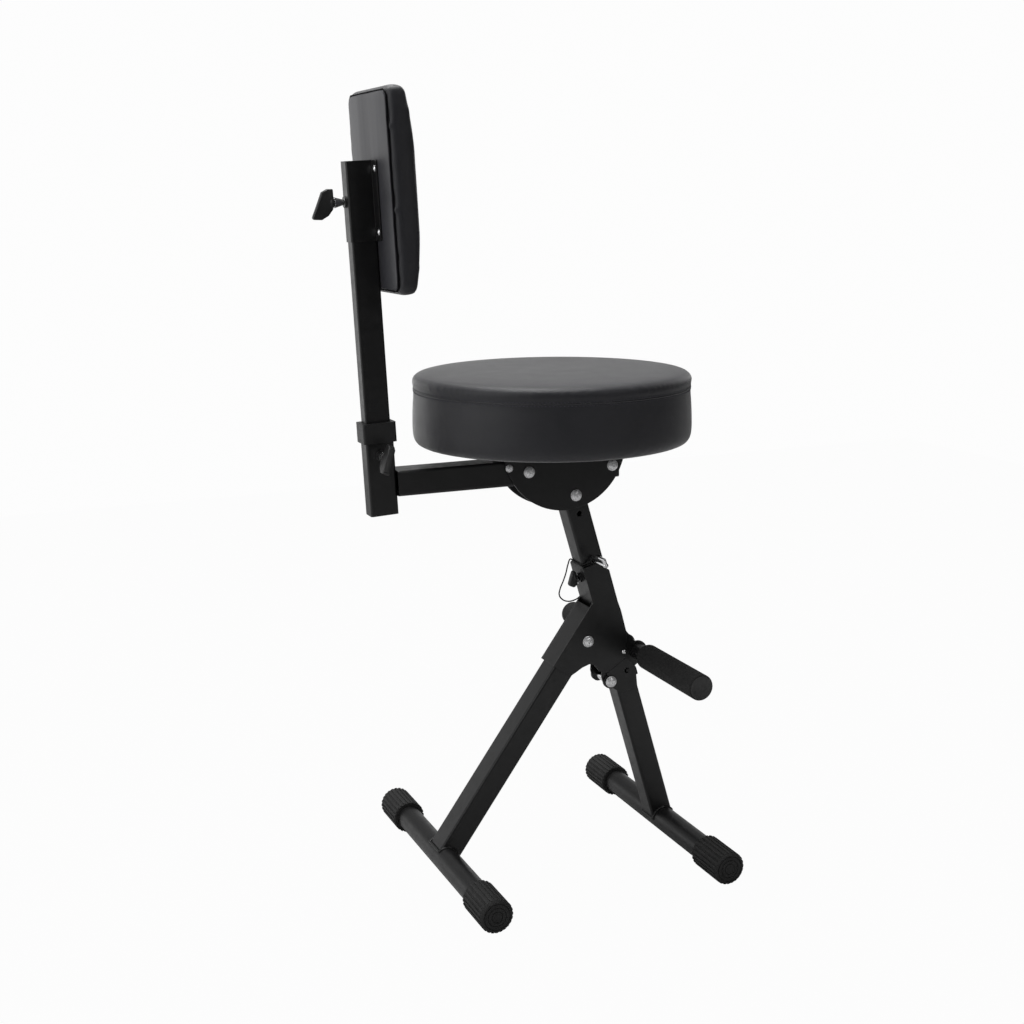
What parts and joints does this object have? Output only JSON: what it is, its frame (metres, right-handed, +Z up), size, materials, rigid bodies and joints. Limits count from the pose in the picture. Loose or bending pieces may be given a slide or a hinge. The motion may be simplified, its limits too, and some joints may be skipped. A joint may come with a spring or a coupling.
{
  "type": "folding guitar stool",
  "caption": "Folding player's stool with a round padded seat on a leaning telescopic column, a footrest bar, folding T-foot legs and a pad backrest on a sliding post.",
  "frame": {"origin": "middle of the stool's overall length and width, at the floor", "axes": "+X towards the way the player faces (front), +Y to the player's left, +Z up"},
  "size_m": [0.4778, 0.381, 0.9798],
  "materials": {
    "black_steel": "black powder coat, fine satin texture",
    "chrome": "polished chrome plate",
    "black_rubber": "moulded black rubber, matt",
    "black_foam": "black foam rubber sleeve, matt",
    "black_plastic": "moulded black plastic, satin",
    "dark_vinyl": "black grained vinyl, soft sheen",
    "seat_board": "plywood under black cloth",
    "cord_black": "thin black cord"
  },
  "bodies": {
    "base": {"rear_foot_tube": "black_steel", "rear_cap_right": "black_rubber", "rear_cap_left": "black_rubber", "rear_leg": "black_steel", "column_sleeve": "black_steel", "hub_plate_right": "black_steel", "hub_plate_left": "black_steel", "hub_strap": "black_steel", "hub_bolt": "chrome", "pivot_bolt": "chrome", "pivot_spacer": "chrome", "pivot_washers": "black_plastic", "footrest_bar": "black_steel", "footrest_grip_right": "black_foam", "footrest_grip_left": "black_foam", "footrest_screws": "chrome", "sleeve_liner": "black_plastic", "lanyard": "cord_black", "lanyard_screw": "chrome"},
    "front_leg": {"front_foot_tube": "black_steel", "front_cap_right": "black_rubber", "front_cap_left": "black_rubber", "front_leg": "black_steel", "fold_bracket": "black_steel"},
    "seat_column": {"column": "black_steel", "column_end_plug": "black_plastic", "column_bolt": "chrome", "column_spacers": "black_steel", "cheek_right": "black_steel", "cheek_left": "black_steel", "seat_plate": "black_steel", "arm": "black_steel", "arm_end_plug": "black_plastic", "arm_bolts": "chrome", "post_sleeve": "black_steel", "post_collar": "black_plastic", "seat_board": "seat_board", "seat_cushion": "dark_vinyl", "seat_screws": "chrome"},
    "lock_pin": {"lock_pin": "chrome", "lock_pin_ball": "black_plastic", "lanyard_eye": "black_plastic"},
    "column_knob": {"column_knob": "black_plastic", "column_knob_stud": "chrome"},
    "back_post": {"post": "black_steel", "post_end_plug": "black_plastic"},
    "post_knob": {"post_knob": "black_plastic", "post_knob_stud": "chrome"},
    "backrest": {"back_bracket": "black_steel", "back_screws": "chrome", "back_board": "seat_board", "back_pad": "dark_vinyl"},
    "bracket_knob": {"bracket_knob": "black_plastic", "bracket_knob_stud": "chrome"}
  },
  "joints": [
    {"name": "front_leg_fold", "type": "hinge", "parent": "base", "child": "front_leg", "pos_m": [0.13378, 0, 0.22999], "axis": [0, 1, 0], "range_deg": [0, 64]},
    {"name": "seat_height", "type": "slide", "parent": "base", "child": "seat_column", "axis": [-0.2767, 0, 0.961], "range_m": [0, 0.064]},
    {"name": "lock_pin_pull", "type": "slide", "parent": "seat_column", "child": "lock_pin", "axis": [0, -1, 0], "range_m": [0, 0.045]},
    {"name": "column_knob_turn", "type": "hinge", "parent": "base", "child": "column_knob", "pos_m": [0.09682, 0, 0.36972], "axis": [-0.961, 0, -0.2767], "range_deg": [0, 180]},
    {"name": "back_height", "type": "slide", "parent": "seat_column", "child": "back_post", "axis": [-0.0436, 0, 0.999], "range_m": [0, 0.06]},
    {"name": "post_knob_turn", "type": "hinge", "parent": "seat_column", "child": "post_knob", "pos_m": [-0.16944, -0.0145, 0.55348], "axis": [0, -1, 0], "range_deg": [0, 180]},
    {"name": "backrest_slide", "type": "slide", "parent": "back_post", "child": "backrest", "axis": [-0.0436, 0, 0.999], "range_m": [-0.1, 0]},
    {"name": "bracket_knob_turn", "type": "hinge", "parent": "backrest", "child": "bracket_knob", "pos_m": [-0.20171, 0, 0.85136], "axis": [-0.999, 0, -0.0436], "range_deg": [0, 180]}
  ]
}
